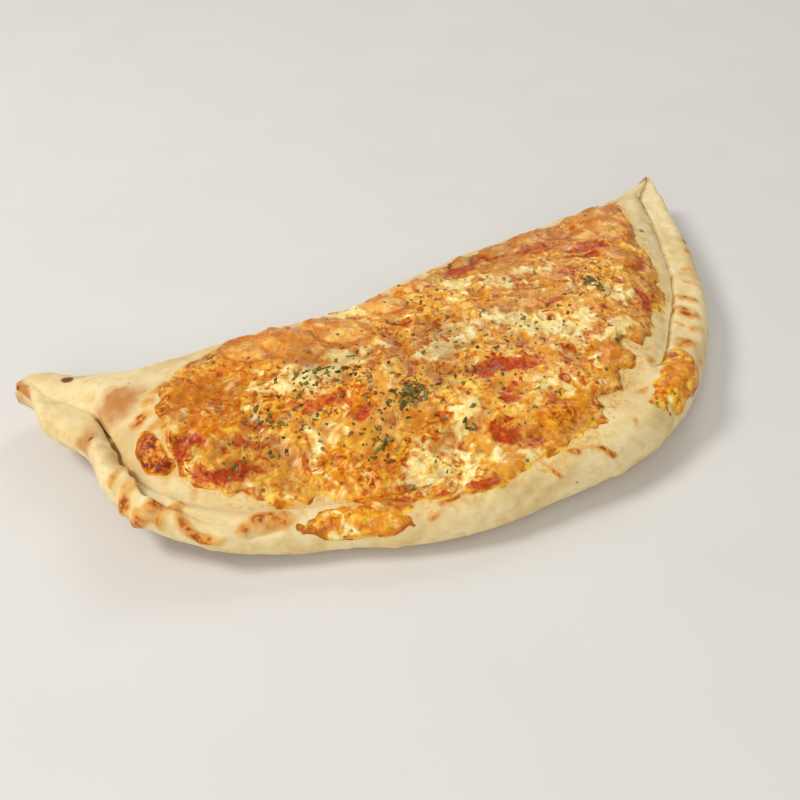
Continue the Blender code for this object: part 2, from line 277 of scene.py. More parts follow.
def blobs(xy, marks, sharp=1.5):
    """Soft ellipses (x, y, half length, half width, turn in degrees, strength); the strongest wins."""
    total = np.zeros(xy.shape[:-1])
    for x, y, long, wide, turn, strength in marks:
        c, s = math.cos(math.radians(turn)), math.sin(math.radians(turn))
        dx, dy = xy[..., 0] - x, xy[..., 1] - y
        u, v = (dx * c + dy * s) / long, (dy * c - dx * s) / wide
        total = np.maximum(total, strength * np.exp(-0.7 * (u * u + v * v) ** sharp))
    return total


def stretch(t, start, full, fade, end):
    """1 between the places full and fade, and 0 before start and after end."""
    return step(start, full, t) * step(end, fade, t)


# ---- dough
# Pinched ridges of the rim: two ends (place, distance over the rim), half width, height, browning.
RIDGES = (
    ((0.146, 6), (0.151, 14), 1.6, 1, 0.65), ((0.151, 14), (0.157, 21), 1.6, 1, 0.6),
    ((0.158, -1), (0.163, 8), 2.2, 1.6, 1), ((0.163, 8), (0.171, 14), 2, 1.4, 0.8),
    ((0.167, -4), (0.175, 3), 2.6, 1.9, 1.1), ((0.175, 3), (0.186, 9), 2.2, 1.7, 0.9),
    ((0.186, 2), (0.192, 8), 2.2, 1.4, 0.9), ((0.192, 8), (0.201, 13), 1.8, 1.2, 0.7),
    ((0.2, 6.5), (0.206, 3.5), 2.6, 1.5, 0.95), ((0.206, 3.5), (0.213, 1), 2.2, 1.3, 1.2),
    ((0.213, 1), (0.222, 1.5), 2.2, 1.1, 1.1), ((0.222, 1.5), (0.233, 4.5), 1.5, 0.8, 0.6),
    ((0.237, 4.5), (0.241, 7), 1.9, 0.8, 1), ((0.25, 9.5), (0.264, 11), 4, 0.8, 1),
    ((0.13, 8), (0.138, 20), 1.6, 0.7, 0.2),
)
# Marks of the folded lip on the right: the same.
LIP_MARKS = (
    ((0.866, 3), (0.863, 6), 1.6, 0.5, 1.1), ((0.842, 6), (0.832, 10), 2.2, 0.3, 0.7),
    ((0.795, 12), (0.789, 16), 1.8, 0.35, 0.7), ((0.772, 12), (0.766, 18), 1.9, 0.35, 0.5),
    ((0.741, 14), (0.733, 20.5), 2.6, 0.6, 0.75), ((0.716, 14), (0.708, 21.5), 3.4, 0.9, 0.95),
    ((0.7, 9), (0.692, 14), 2.4, 0.4, 0.55), ((0.69, 19), (0.688, 21.5), 1.8, 0.3, 0.45),
    ((0.668, 14), (0.656, 19), 3, 0.6, 0.95), ((0.664, 5), (0.65, 9), 2.2, 0.3, 0.4),
)
# Thin drips and crumbs of cheese that baked on the rim in front: the same.
DRIPS = (
    ((0.452, 15.5), (0.463, 6.5), 0.9, 0.5, 0.95), ((0.476, 14), (0.484, 13), 1.7, 0.5, 0.9),
    ((0.49, 14), (0.503, 11), 1.2, 0.4, 0.8), ((0.503, 11), (0.511, 6.5), 1.3, 0.5, 0.95),
    ((0.432, 16), (0.437, 15), 1, 0.4, 0.7), ((0.412, 13), (0.416, 12), 0.9, 0.3, 0.8),
    ((0.47, 9), (0.471, 9), 0.7, 0.3, 0.8), ((0.54, 12), (0.544, 14), 1.2, 0.3, 0.5),
    ((0.372, 10.5), (0.398, 12.5), 1.3, 0.4, 0.8), ((0.362, 6), (0.372, 8), 1.2, 0.3, 0.6),
    ((0.385, 125), (0.397, 122.5), 0.9, 0.9, 1.2),
)
# Shallow creases across the rim: two ends, half width, depth.
CREASES = (
    ((0.202, 10.5), (0.216, 8.5), 1, 1.7), ((0.216, 8.5), (0.232, 8.8), 0.9, 1.3),
    ((0.244, 4), (0.262, 6.5), 0.9, 1.3), ((0.148, 2), (0.152, 14), 1.2, 0.8),
    ((0.162, 2), (0.172, 13), 1.2, 0.7), ((0.18, -2), (0.192, 11), 1.4, 0.9),
    ((0.3, 3), (0.306, 8), 2, 0.4), ((0.585, -3), (0.588, 7), 1.2, 0.8),
    ((0.43, 4), (0.452, 8), 2.2, 0.35),
)
# Toasted marks seen from above, in the row frame: x, y, half length, half width, turn, strength.
TOASTED = (
    (-134, 36, 10, 8, 20, 0.85), (-150, 27, 7, 4, 60, 0.7), (-161, 68, 3, 6, 10, 0.95),
    (-145, 14, 4, 6, 20, 0.3), (126, 47, 5, 3, 20, 0.25), (112, 27, 3, 3, 0, 0.6), (-120, 49, 9, 3, 20, 0.25),
    (158, 66, 6, 5, 30, 0.8), (-100, 53, 12, 3, 5, 0.35), (-72, 56, 10, 3, 0, 0.35), (76, 52, 20, 4, 0, 0.3),
    (118, 63, 9, 3, 0, 0.45), (132, 14, 4, 8, 30, 0.4), (0, 60, 30, 4, 0, 0.35), (50, 64, 30, 4, 0, 0.3),
    (-140, 64, 12, 3, 0, 0.4),
)
# Small lumps of browned cheese round the edge of the topping: the same.
CRUMBS = (
    (-131, 22, 4, 2.5, 30, 0.9), (-126, 17, 3, 2, 0, 0.8), (-130, -1, 4, 3, 60, 0.8),
    (-121, -13, 5, 1.6, -30, 0.8), (-124, 28, 3, 2, 0, 0.8), (-118, 35, 4, 2, 40, 0.7),
    (36, -60, 3, 1.6, 0, 0.7), (50, -50, 3, 2, 0, 0.5), (78, -28, 3, 2, 60, 0.5), (93, 20, 2.5, 2, 0, 0.5),
)
# Burnt specks: the same.
BURNT = (
    (-144.5, 63.5, 2.6, 2.8, 0, 0.9), (125.5, 52, 2.5, 1.8, 20, 0.55), (116, 24, 2.4, 2, 0, 0.6),
    (-162, 71, 1.2, 1, 0, 0.8), (-160, 64, 1, 1.2, 0, 0.7), (161, 70, 2.5, 1.8, 0, 0.6),
    (-148, 26, 1.2, 0.8, 0, 0.9), (120, 45, 1.4, 1.2, 0, 0.5), (-126, 45, 0.8, 0.8, 0, 0.6),
)
# Stretches of the rim, by place: where each starts, is full, begins to fade and ends.
WHOLE_RIM = (0.0, 0.03, 0.97, 1.0)
RIGHT_LIP = (0.595, 0.625, 0.93, 0.965)
RIGHT_CRACK = (0.6, 0.62, 0.93, 0.965)
DENTED_LIP = (0.62, 0.66, 0.88, 0.93)
LEFT_LIP = (0.085, 0.115, 0.175, 0.215)
LEFT_CRACK = (0.09, 0.115, 0.175, 0.215)
TORN_LIP = (0.11, 0.13, 0.18, 0.21)
# Where the crack on the left opens to a hole, and where the dough still bridges it.
HOLE_PLACE = 0.134
BRIDGE_PLACE = 0.147
# How far the seam swings out over the rim, by place.
SEAM_SWING = (
    (0, 0), (0.15, 0), (0.164, 5.5), (0.172, 8.3), (0.2, 10.3), (0.24, 10.3), (0.4, 0), (1, 0),
)
# Finger dents along the lip: their spacing over two pi, their depth, and the lip's middle and half width.
DENT_SPACING = 2.9
DENT_DEPTH = 0.35
LIP_MIDDLE = 13.0
LIP_HALF_WIDTH = 8.0


def rim_marks(t, m, marks, column):
    """Soft lines on the rim, with one of their last columns as strength; the strongest wins."""
    u = t * RIM_LENGTH
    total = np.zeros(np.broadcast(u, m).shape)
    for (start, m0), (end, m1), wide, *rest in marks:
        u0, du, dm = start * RIM_LENGTH, (end - start) * RIM_LENGTH, m1 - m0
        k = np.clip(((u - u0) * du + (m - m0) * dm) / (du * du + dm * dm + TINY), 0.0, 1.0)
        total = np.maximum(total, rest[column] * bell(np.hypot(u - u0 - k * du, m - m0 - k * dm), wide))
    return total


def near_place(t, place, width):
    """1 at a place on the rim, falling to 0 over some millimetres each way."""
    return bell((t - place) * RIM_LENGTH, width)


def past_seam(form, m, points):
    """Distance past the seam, towards the crown, on a slightly wandering line."""
    torn = 0.5 + 1.3 * stretch(form.t, *TORN_LIP)
    swing = curve(SEAM_SWING, form.t)
    return m - form.seam + swing - 0.9 * noise(points, 16.0, 6) - torn * noise(points, 4.5, 7)


def edge_distance(form, m):
    """How far inside the cheese's edge each spot lies, before it is made ragged."""
    t = form.t
    near = curve(TOPPING_NEAR, t)
    far = form.to_fold + curve(TOPPING_FAR, t) - FOLD_MARGIN
    across = np.minimum(m - near, far - m)
    along = np.minimum(t - TOPPING_START, TOPPING_END - t) * END_SCALE
    inside = np.minimum(across, along)
    return np.where((across > 0) & (along > 0), inside, np.minimum(inside, 0.0))


def dough_relief(form, m, points):
    """How far the baked surface stands out from the plain form, in millimetres."""
    t = form.t
    above = step(0.0, 4.0, points[..., 2] - lift(points[..., 0]))
    # Broad swells and fine grain, with blisters, and calmer where the dough lies on the table.
    relief = 0.55 * noise(points, 28.0, 1) + 0.3 * noise(points, 11.0, 2)
    relief += 0.1 * noise(points, 4.0, 3) + 0.05 * noise(points, 1.9, 4)
    blisters = np.maximum(noise(points, 7.0, 5) - 0.32, 0.0) * 2.2
    relief += blisters * 0.8
    relief = relief * (0.35 + 0.65 * above)
    # The seam: a lip on the rim's side standing over a narrow crack, which opens to a hole on the left.
    s = past_seam(form, m, points)
    right = stretch(t, *RIGHT_LIP)
    left = stretch(t, *LEFT_LIP) * (1.0 - 0.75 * near_place(t, BRIDGE_PLACE, 2.6))
    lip = np.where(s < 0, bell(s + 0.9, 3.8), 0.94 * bell(s, 0.4))
    relief += (0.8 * right + 1.5 * left) * lip
    relief -= (1.5 * right + 2.8 * left) * bell(s - 0.6, 0.4 + 0.2 * left)
    relief -= (0.3 * right + 1.2 * left) * bell(s - 1.8, 2.6) * (s > 0)
    relief -= 3.0 * near_place(t, HOLE_PLACE, 4.5) * bell(s - 2.0, 1.8)
    relief += rim_marks(t, m, RIDGES, 0) + rim_marks(t, m, LIP_MARKS, 0) + rim_marks(t, m, DRIPS, 0)
    relief -= rim_marks(t, m, CREASES, 0)
    dents = 0.5 + 0.5 * np.sin(t * RIM_LENGTH / DENT_SPACING + 2.0 * noise(points, 40.0, 8))
    relief -= DENT_DEPTH * dents * bell(m - LIP_MIDDLE, LIP_HALF_WIDTH) * stretch(t, *DENTED_LIP)
    return relief * stretch(t, *WHOLE_RIM)


def dough_surface(form, m):
    """The plain form's points at (t, m), the baked dough's points there, and the outward directions."""
    plain = form.points(m)
    normals = np.cross(np.gradient(plain, axis=0), np.gradient(plain, axis=1))
    size = np.linalg.norm(normals, axis=2, keepdims=True)
    normals = normals / np.maximum(size, TINY)
    if normals[plain.shape[0] // 2, plain.shape[1] // 2, 2] < 0:
        normals = -normals
    return plain, plain + normals * dough_relief(form, m, plain)[..., None], normals


def new_mesh(name, points, faces, material, replaced, values):
    """A piece in the row frame, from points in millimetres in the form's frame, riding on the root."""
    mesh = bpy.data.meshes.new(name)
    mesh.from_pydata(((points + SHIFT) * MM).tolist(), [], faces)
    mesh.materials.append(material)
    mesh.shade_smooth()
    for label, numbers in values.items():
        layer = mesh.attributes.new(label, "FLOAT", "POINT")
        layer.data.foreach_set("value", np.asarray(numbers, np.float32).ravel())
    piece = bpy.data.objects.new(name, mesh)
    bpy.context.scene.collection.objects.link(piece)
    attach(piece, "root")
    for node in replaced:
        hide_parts(node)


# Sections along the dough, a little closer together at both horns.
STATIONS = 600
CROWDING = 0.35
# Points of a section: round the rim, up to the seam, over it, over the crown, and round the fold.
OVER_ROWS = (44, 8, 22, 48, 22)
BASE_ROWS = 14
# The distance over the top that stands for the underside, clear of every mark on the rim.
UNDERSIDE = -30.0


def dough_rows(form):
    """Distances over the top of every row of the dough's outside, one set to each station."""
    seam = form.seam
    near = np.maximum(seam - 4.0, form.quarter + 0.3 * (seam - form.quarter))
    past = np.minimum(seam + 5.0, seam + 0.3 * (form.to_fold - seam))
    ends = (-form.quarter, form.quarter, near, past, form.to_fold, form.round_back)
    parts = [a + (b - a) * np.linspace(0.0, 1.0, rows, endpoint=False)[None, :]
             for a, b, rows in zip(ends, ends[1:], OVER_ROWS)]
    return np.concatenate(parts, axis=1)


def quads(grid):
    """Faces of a grid of point numbers."""
    return np.stack([grid[:-1, :-1], grid[1:, :-1], grid[1:, 1:], grid[:-1, 1:]], axis=2).reshape(-1, 4)


def ring_faces(count, size):
    """Faces of a closed body of rings of points, with a tip past the first ring and one past the last."""
    grid = np.arange(count * size).reshape(count, size)
    grid = np.concatenate([grid, grid[:, :1]], axis=1)
    left, right = grid[0].tolist(), grid[-1].tolist()
    faces = quads(grid)[:, [3, 0, 1, 2]].tolist()
    faces += [(count * size, a, b) for a, b in zip(left, left[1:])]
    faces += [(count * size + 1, b, a) for a, b in zip(right, right[1:])]
    return faces


def dough_values(form, m, rings, height):
    """How toasted, browned, burnt and stained each point of the dough is, and where its crack runs, which
    gets painted shade.
    """
    t = form.t
    row_xy = (rings + SHIFT)[..., :2]
    xy = row_xy + (2.4 * sideways(rings, 9.0, 31) + 1.0 * sideways(rings, 3.0, 33))
    above = step(5.0, 9.0, height)
    horns = bell(t, 0.02) + bell(1 - t, 0.018)
    toasted = np.maximum(blobs(xy, TOASTED, 1.1) * above, 0.75 * horns * (0.6 + 0.8 * noise(rings, 5.0, 38)))
    marks = np.maximum(rim_marks(t, m, RIDGES + LIP_MARKS + DRIPS, 1), blobs(xy, CRUMBS, 1.3) * above)
    s = past_seam(form, m, rings)
    torn = stretch(t, *LEFT_CRACK) * (1.0 - 0.8 * near_place(t, BRIDGE_PLACE, 3.0))
    # The seam's crack, darkened in the colour as painted shade in its groove.
    crack = bell(s - 0.6, 0.5) * (0.75 * stretch(t, *RIGHT_CRACK) + torn) * (m > 0)
    inside = edge_distance(form, m) + 5.0 * noise(rings, 9.0, 36)
    return {
        "toasted": toasted,
        "browned": np.clip(marks * (0.8 + 0.8 * noise(rings, 4.2, 35)), 0, 1),
        "burnt": blobs(row_xy, BURNT, 1.4) * above,
        "stained": bell(np.maximum(-inside, 0), 5.5) * above,
        "crack": crack,
        "under": step(4.0, 0.6, height),
    }


def make_dough(material):
    """The baked dough: sections over the rim, crown and fold, closed underneath and at both horns."""
    even = np.arange(1, STATIONS) / STATIONS
    form = Form(even - CROWDING * np.sin(2 * np.pi * even) / (2 * np.pi))
    m = dough_rows(form)
    share = np.linspace(0.0, 1.0, BASE_ROWS, endpoint=False)[None, :]
    inward = (form.length - form.back) + (form.half_roll - form.length + form.back) * share
    base = form.place(inward, np.zeros_like(inward))
    over = dough_surface(form, m)[1]
    # The underside keeps its resting plane, and only dimples upwards.
    base[..., 2] += np.maximum(noise(base, 9.0, 21), 0.0) * 0.9 * np.sin(np.pi * share)
    rings = np.concatenate([over, base], axis=1)
    resting = lift(rings[..., 0])
    rings[..., 2] = np.maximum(rings[..., 2], resting)
    tips = [(x, y, lift(x) + 0.5 * high)
            for (x, y), (_, high) in ((FOLD_LINE[0], FOLD_HEIGHT[0]), (FOLD_LINE[-1], FOLD_HEIGHT[-1]))]
    points = np.concatenate([rings.reshape(-1, 3), np.array(tips)])
    whole_m = np.concatenate([m, np.full(base.shape[:2], UNDERSIDE)], axis=1)
    values = {
        label: np.concatenate([field.ravel(), [field[0].mean(), field[-1].mean()]])
        for label, field in dough_values(form, whole_m, rings, rings[..., 2] - resting).items()
    }
    faces = ring_faces(*rings.shape[:2])
    new_mesh("dough_skin", points, faces, material, ["dough"], values)


# ---- cheese and sauce
# Marks seen from above, in the row frame: x, y, half length, half width, turn, strength.
CREAM = (
    (-73, 5, 15, 6, -25, 1), (-5, 0, 10, 5, -30, 1), (-53, -51, 13, 5.5, -25, 1), (-30, -39, 5, 4, 0, 0.9),
    (51, -33, 8, 4.5, 10, 1), (18, -13, 17, 7, -45, 0.95), (-55, 7, 9, 6, -40, 0.9),
    (-23, -8, 8, 5, -20, 0.8), (27, 20, 9, 5, -30, 0.8), (63, -12, 9, 3.5, -25, 0.85), (5, -46, 7, 5, 0, 0.8),
    (-69, 15, 5, 5, 0, 0.9), (-88, 10, 6, 4, 0, 0.6), (-36, 30, 10, 5, 10, 0.8), (-77, -20, 6, 3.5, -20, 0.5),
    (-40, -44, 6, 4, -20, 0.55), (38, -23, 7, 5, 0, 0.7), (12, 28, 9, 6, -20, 0.9), (-34, 36, 7, 8, 0, 1),
    (-128, -7, 6, 4, 0, 0.5), (-14, 40, 6, 4, 0, 0.9), (48, 14, 8, 5, -30, 0.6), (-52, 34, 3, 6, 0, 0.8),
    (-20, -62, 6, 3, 0, 0.5),
)
SAUCE = (
    (-5, -29, 17, 3.6, -16, 1), (-114, -14, 11, 3.6, -20, 1), (-123, 1, 5, 4, 20, 0.95),
    (-61, -60, 15, 2.4, -36, 1), (-44, -65, 9, 2.8, -8, 0.95), (27, 45, 12, 8, 60, 1),
    (44, 42, 8, 4, 0, 0.75), (89, 4, 7, 5, 60, 0.7), (75, -21, 8, 3.2, 60, 0.85),
    (74, 16, 11, 2.6, -10, 0.85), (37, -6, 4, 2.6, 0, 0.85), (-22, 13, 4, 2.6, 0, 0.7),
    (-64, -18, 5, 3.5, 0, 0.7), (-102, -8, 7, 2.6, -15, 0.65), (9, -22, 5, 3, 0, 0.6),
    (-24, -52, 5, 4, 0, 0.7), (-15, -61, 8, 4, -10, 0.55), (-13, -41, 5, 3.5, 0, 0.55),
    (-31, -10, 5, 4, 0, 0.5), (58, 8, 7, 3, -20, 0.55), (-76, -8, 14, 2.6, -22, 0.45),
    (62, 46, 14, 5, 0, 0.62), (56, 32, 10, 4, -10, 0.6), (80, 22, 10, 3, -20, 0.7), (-96, 30, 5, 3, 30, 0.35),
    (20, 34, 6, 4, 0, 0.5),
)
GOLDEN = (
    (-104, 20, 22, 12, 10, 0.95), (-113, 12, 10, 16, 0, 0.95), (-97, 3, 16, 8, -15, 0.8),
    (-80, -33, 15, 8, 62, 0.95), (-76, -46, 8, 6, -30, 0.9), (-39, 4, 9, 6, 0, 0.8),
    (-20, 14, 13, 6, 10, 0.85), (-61, -13, 9, 5, -20, 0.75), (4, -56, 17, 6.5, -6, 0.85),
    (32, -42, 8, 8, 0, 0.85), (51, -19, 7, 5, 0, 0.7), (17, 11, 9, 4.5, -20, 0.8), (56, 28, 9, 8, 0, 0.7),
    (-82, 42, 12, 9, 20, 0.9), (-95, -1, 8, 6, 0, 0.7), (-64, -38, 10, 4, -30, 0.7),
    (-45, -33, 9, 6, 0, 0.65), (20, -34, 9, 5, 0, 0.6), (66, 36, 12, 7, 20, 0.8), (-30, 20, 9, 6, 0, 0.7),
    (100, 44, 14, 22, 0, 0.75), (-52, 22, 9, 7, 0, 0.6), (66, 0, 9, 3, -15, 0.55), (0, 36, 8, 7, 0, 0.7),
)
# Smooth swollen skin, without the grain: the same, with the height it stands up as its strength.
SWOLLEN = (
    (102, 43, 12, 19, -8, 1.3), (-66, 28, 8.5, 13, 15, 1.5), (-82, 38, 6.5, 10, 0, 1.2),
    (-48, 27, 7.5, 15, 20, 1.4), (-21, 33, 7, 9, 10, 1.4), (-3, 37, 6, 6, 20, 1.2), (27, 47, 6, 6, 40, 1),
    (47, 45, 7, 7, 0, 1), (66, 45, 13, 8, -5, 1.3), (86, 8, 6, 8, 20, 1), (84, 30, 6, 5, 0, 0.8),
)
# Where the dough shows through the cheese: the same, with how bare it is as its strength.
BARE = (
    (-35, 45, 9, 3.5, 10, 1), (-68, 53, 7, 3.5, 0, 1), (4, 50, 12, 3.4, 10, 1), (-112, 47, 14, 6, 20, 1),
    (86, 60, 8, 4, 20, 1), (-98, 52, 12, 3, 5, 1), (-51, 47, 4, 3, 0, 0.9), (30, 56, 10, 2.4, 0, 0.9),
    (-34, 28, 4, 5, 10, 0.8), (-14, 44, 4, 3, 0, 0.9), (36, -56, 9, 5, 30, 1), (21, -63, 9, 5, 25, 1),
    (50, -45, 6, 6, 30, 0.9), (-134, -24, 10, 6, -40, 1),
)
# Melted shreds: how many, the stretch of the row frame they lie in, and how far one reaches at most.
SHREDS = 900
SHRED_SEED = 5
SHRED_X = (-132, 125)
SHRED_Y = (-82, 75)
SHRED_REACH = 8


def shred_fields(xy):
    """Short melted shreds all over: how high each stands, and its own tone from -1 to 1."""
    rng = np.random.default_rng(SHRED_SEED)
    high = np.zeros(xy.shape[:-1])
    tone = np.zeros(xy.shape[:-1])
    for _ in range(SHREDS):
        x, y = rng.uniform(*SHRED_X), rng.uniform(*SHRED_Y)
        turn, half = rng.uniform(0, math.pi), rng.uniform(1.6, 4.2)
        wide, tall, own = rng.uniform(0.6, 1.15), rng.uniform(0.25, 0.7), rng.uniform(-1, 1)
        near = np.nonzero((abs(xy[..., 0] - x) < SHRED_REACH) & (abs(xy[..., 1] - y) < SHRED_REACH))
        if not len(near[0]):
            continue
        dx, dy = xy[near][:, 0] - x, xy[near][:, 1] - y
        u = dx * math.cos(turn) + dy * math.sin(turn)
        v = dy * math.cos(turn) - dx * math.sin(turn) + 0.05 * u * u
        k = np.maximum(abs(u) - half, 0.0)
        bump = bell(np.hypot(v, k), wide)
        high[near] = np.maximum(high[near], tall * bump)
        tone[near] = tone[near] * (1 - bump) + own * bump
    return high, tone


# The sheet's sections and rows, and how far its grid runs past the cheese's edges to let them wander.
TOPPING_STATIONS = 489
TOPPING_ROWS = 193
SHEET_PAST_END = 0.012
SHEET_PAST_NEAR = 6.0
SHEET_PAST_FAR = 5.0
SHEET_DEPTH = 2.4
UNDER_EVERY = 8


def close_sheet(top, bottom):
    """Points and faces of a closed sheet whose underside has a point to every UNDER_EVERY of its top."""
    rows, columns = top.shape[:2]
    grid = np.arange(rows * columns).reshape(rows, columns)
    low = np.arange(bottom[..., 0].size).reshape(bottom.shape[:2]) + grid.size
    faces = quads(grid).tolist() + quads(low)[:, [0, 3, 2, 1]].tolist()
    sides = (
        (grid[0], low[0], False), (grid[-1], low[-1], True),
        (grid[:, 0], low[:, 0], True), (grid[:, -1], low[:, -1], False),
    )
    for line, under, turn in sides:
        for i in range(len(under) - 1):
            along = [int(a) for a in line[i * UNDER_EVERY:(i + 1) * UNDER_EVERY + 1]]
            face = along + [int(under[i + 1]), int(under[i])]
            faces.append(face[::-1] if turn else face)
    points = np.concatenate([top.reshape(-1, 3), bottom.reshape(-1, 3)])
    return points, faces


def lay_sheet(node, surface, normals, high, depth, material, values):
    """A closed sheet of cheese from heights over the dough's surface down to a depth under it."""
    top = surface + normals * high[..., None]
    bottom = (surface - normals * depth)[::UNDER_EVERY, ::UNDER_EVERY]
    points, faces = close_sheet(top, bottom)
    below = np.zeros(bottom[..., 0].size)
    values = {k: np.concatenate([v.ravel(), below]) for k, v in values.items()}
    new_mesh(node + "_skin", points, faces, material, [node], values)
    return top


def make_topping(material):
    """The main sheet of cheese and sauce; gives its top, outward directions and distance from its edge."""
    t = np.linspace(TOPPING_START - SHEET_PAST_END, TOPPING_END + SHEET_PAST_END, TOPPING_STATIONS)
    form = Form(t)
    near = curve(TOPPING_NEAR, form.t) - SHEET_PAST_NEAR
    far = form.to_fold + curve(TOPPING_FAR, form.t) + SHEET_PAST_FAR
    m = near + (far - near) * np.linspace(0.0, 1.0, TOPPING_ROWS)[None, :]
    plain, surface, normals = dough_surface(form, m)
    row_xy = (surface + SHIFT)[..., :2]
    warp = 4.5 * sideways(plain, 12.0, 41) + 2.2 * sideways(plain, 4.5, 43)
    xy = row_xy + warp
    inside = edge_distance(form, m) + 6.0 * noise(plain, 15.0, 45) + 3.0 * noise(plain, 5.5, 46) + 1.0
    bare = blobs(xy, BARE, 1.6)
    inside = np.minimum(inside, 12.0 * (0.5 - bare) + 1.0)
    cream, sauce = blobs(xy, CREAM), blobs(xy, SAUCE)
    golden = blobs(xy, GOLDEN, 1.2)
    calm = row_xy + 0.65 * warp
    swollen = blobs(calm, SWOLLEN, 1.8) * np.clip(1.0 + 0.5 * noise(plain, 11.0, 56), 0.5, 1.2)
    crest = blobs(calm, [(x, y + 0.55 * wide, 0.8 * long, 0.55 * wide, turn, 1.0)
                         for x, y, long, wide, turn, _ in SWOLLEN], 1.2)
    skin = np.clip(swollen, 0, 1)
    shred_high, shred_tone = shred_fields(row_xy)
    lively = 0.6 + 0.9 * step(-0.25, 0.35, noise(plain, 17.0, 57))
    rough = (1 - 0.85 * skin) * (1 - 0.45 * cream) * (1 - 0.65 * sauce) * lively
    high = 0.5 * step(0.0, 1.6, inside) + 0.8 * step(0.0, 9.0, inside)
    swell = 1.1 * noise(plain, 26.0, 50) + 0.75 * ridged(plain, 9.0, 47)
    fine = 0.36 * ridged(plain, 4.2, 48) + 0.14 * ridged(plain, 1.9, 49) + 0.5 * shred_high
    fade = step(0.0, 5.0, inside)
    high = high + fade * (swell * (1 - 0.4 * skin) + rough * fine)
    high = high + fade * (1.9 * swollen + 0.55 * cream - 0.75 * sauce * (1 - skin))
    high = np.where(inside > 0, np.maximum(high, 0.12 + 0.3 * fade), 0.12 - 0.5 * np.minimum(-inside, 2.6))
    values = {
        "cream": cream, "sauce": sauce, "golden": golden, "skin": skin, "crest": crest,
        "shred": shred_tone * rough, "inside": np.clip(inside / 6.0, 0, 1),
        # How high the relief stands: its low hollows get painted shade in the cheese's colour.
        "height": np.clip(0.5 + 0.4 * (0.5 * swell + rough * fine - 0.8), 0, 1),
    }
    top = lay_sheet("cheese_and_sauce", surface, normals, high, SHEET_DEPTH, material, values)
    return top, normals, inside


# ---- patches of cheese on the rim
# Each patch: its place, distance over the rim, half length in places, half width, raggedness, darkness.
PATCHES = {
    "cheese_patch_left": (0.178, 32.0, 0.0165, 7.5, 3.0, 1.0),
    "cheese_patch_front": (0.314, 7.0, 0.04, 5.6, 2.4, -0.7),
    "cheese_patch_right": (0.612, 12.0, 0.038, 8.6, 3.4, -0.4),
}
PATCH_ROWS = 81
PATCH_DEPTH = 2.2
# How far the patch's grid runs past its outline, to let the edge wander.
PATCH_PAST = 1.35


def make_patch(node, middle, up, half_share, half_width, ragged, dark, material):
    """A patch of cheese baked on the rim."""
    form = Form(middle + half_share * PATCH_PAST * np.linspace(-1, 1, PATCH_ROWS))
    v = np.linspace(-PATCH_PAST, PATCH_PAST, PATCH_ROWS)[None, :]
    m = up + half_width * v
    plain, surface, normals = dough_surface(form, m)
    u = (form.t - middle) / half_share
    reach = np.sqrt(u * u + v * v)
    inside = (1.0 - reach) * half_width + ragged * noise(plain, 8.0, 51) + 0.8 * noise(plain, 3.0, 52)
    fade = step(0.0, 2.5, inside)
    folds = ridged(plain * np.array([1.0, 1.0, 1.4]), 5.5, 53, 2.4)
    high = 0.35 * step(0.0, 1.5, inside) + fade * (0.3 + 0.6 * folds + 0.16 * ridged(plain, 2.6, 54))
    high = np.where(inside > 0, np.maximum(high, 0.1 + 0.25 * fade), 0.1 - 0.5 * np.minimum(-inside, 2.4))
    zero = np.zeros_like(high)
    values = {
        "cream": zero, "sauce": zero, "golden": zero + 0.9, "skin": zero, "crest": zero,
        "shred": 0.6 * noise(plain, 3.5, 55) - dark, "inside": np.clip(inside / 4.0, 0, 1),
        # How high the folds stand: their low hollows get painted shade in the cheese's colour.
        "height": np.clip(0.4 + 0.5 * folds, 0, 1),
    }
    lay_sheet(node, surface, normals, high, PATCH_DEPTH, material, values)


# ---- herbs
# Where the dried herbs lie thickest: x, y, spread, how many.
HERB_SPOTS = (
    (-43, -23, 5, 40), (-48, -24, 3, 18), (-40, -20, 3, 18), (-70, 2, 8, 26), (-57, -4, 6, 18),
    (-96, -11, 10, 24), (-82, -14, 7, 16), (-64, -32, 5, 20), (59, -4, 5, 20), (60, -9, 3, 10),
    (43, -38, 1.5, 3), (-32, -45, 2, 6), (23, 50, 1.2, 2), (-95, 39, 1.5, 2), (-49, -52, 4, 7),
    (-62, -52, 2, 4), (-110, -13, 4, 8), (10, -14, 18, 26), (-20, -28, 12, 26), (35, -10, 16, 22),
    (-30, 4, 14, 22), (-5, -44, 12, 14), (70, 2, 9, 12), (-60, -25, 16, 28), (-88, 0, 12, 18),
    (0, 20, 18, 14), (20, -55, 6, 5), (-50, -8, 22, 40), (0, 0, 60, 40),
)
# Larger leaves: x, y, turn in degrees, half length.
LEAVES = (
    (22, 49, 40, 2.6), (-95, 40, 30, 3.2), (-67, 6, 10, 3.4), (-64, 5, -20, 2.6), (-82, 9, 70, 2.4),
    (-75, 7, 20, 2.4), (-44, -24, 80, 3), (-46, -22, 20, 2.6), (-39, -26, 50, 2.8), (-35, -31, -10, 2.4),
    (-34, -44, 60, 2), (-28, -39, 10, 2), (-63, -35, 40, 2.6), (48, -10, 10, 2.8), (58, -3, 0, 3.2),
    (55, -5, 30, 2.4), (44, 15, 70, 2), (45, -37, 20, 2.6), (-2, -19, 0, 1.8), (-9, -16, 40, 1.8),
    (34, -55, 20, 2), (-62, -52, 10, 2), (-110, -13, 20, 2), (-96, -18, 50, 2.2), (-65, 17, 90, 2.4),
    (-61, 0, -30, 2), (-70, -25, 30, 2.2), (-50, -27, 40, 2.8), (-60, -34, 0, 2.4),
)
HERB_SEED = 9
HERB_PLENTY = 1.35
# Herbs keep this far inside the cheese's edge, and their middles lie this far above its surface.
HERB_MARGIN = 2.0
HERB_REST = 0.12
FLAKE_CORNERS = 8
# Added to the distance of a spot where no herb may lie.
FAR_AWAY = 1e3


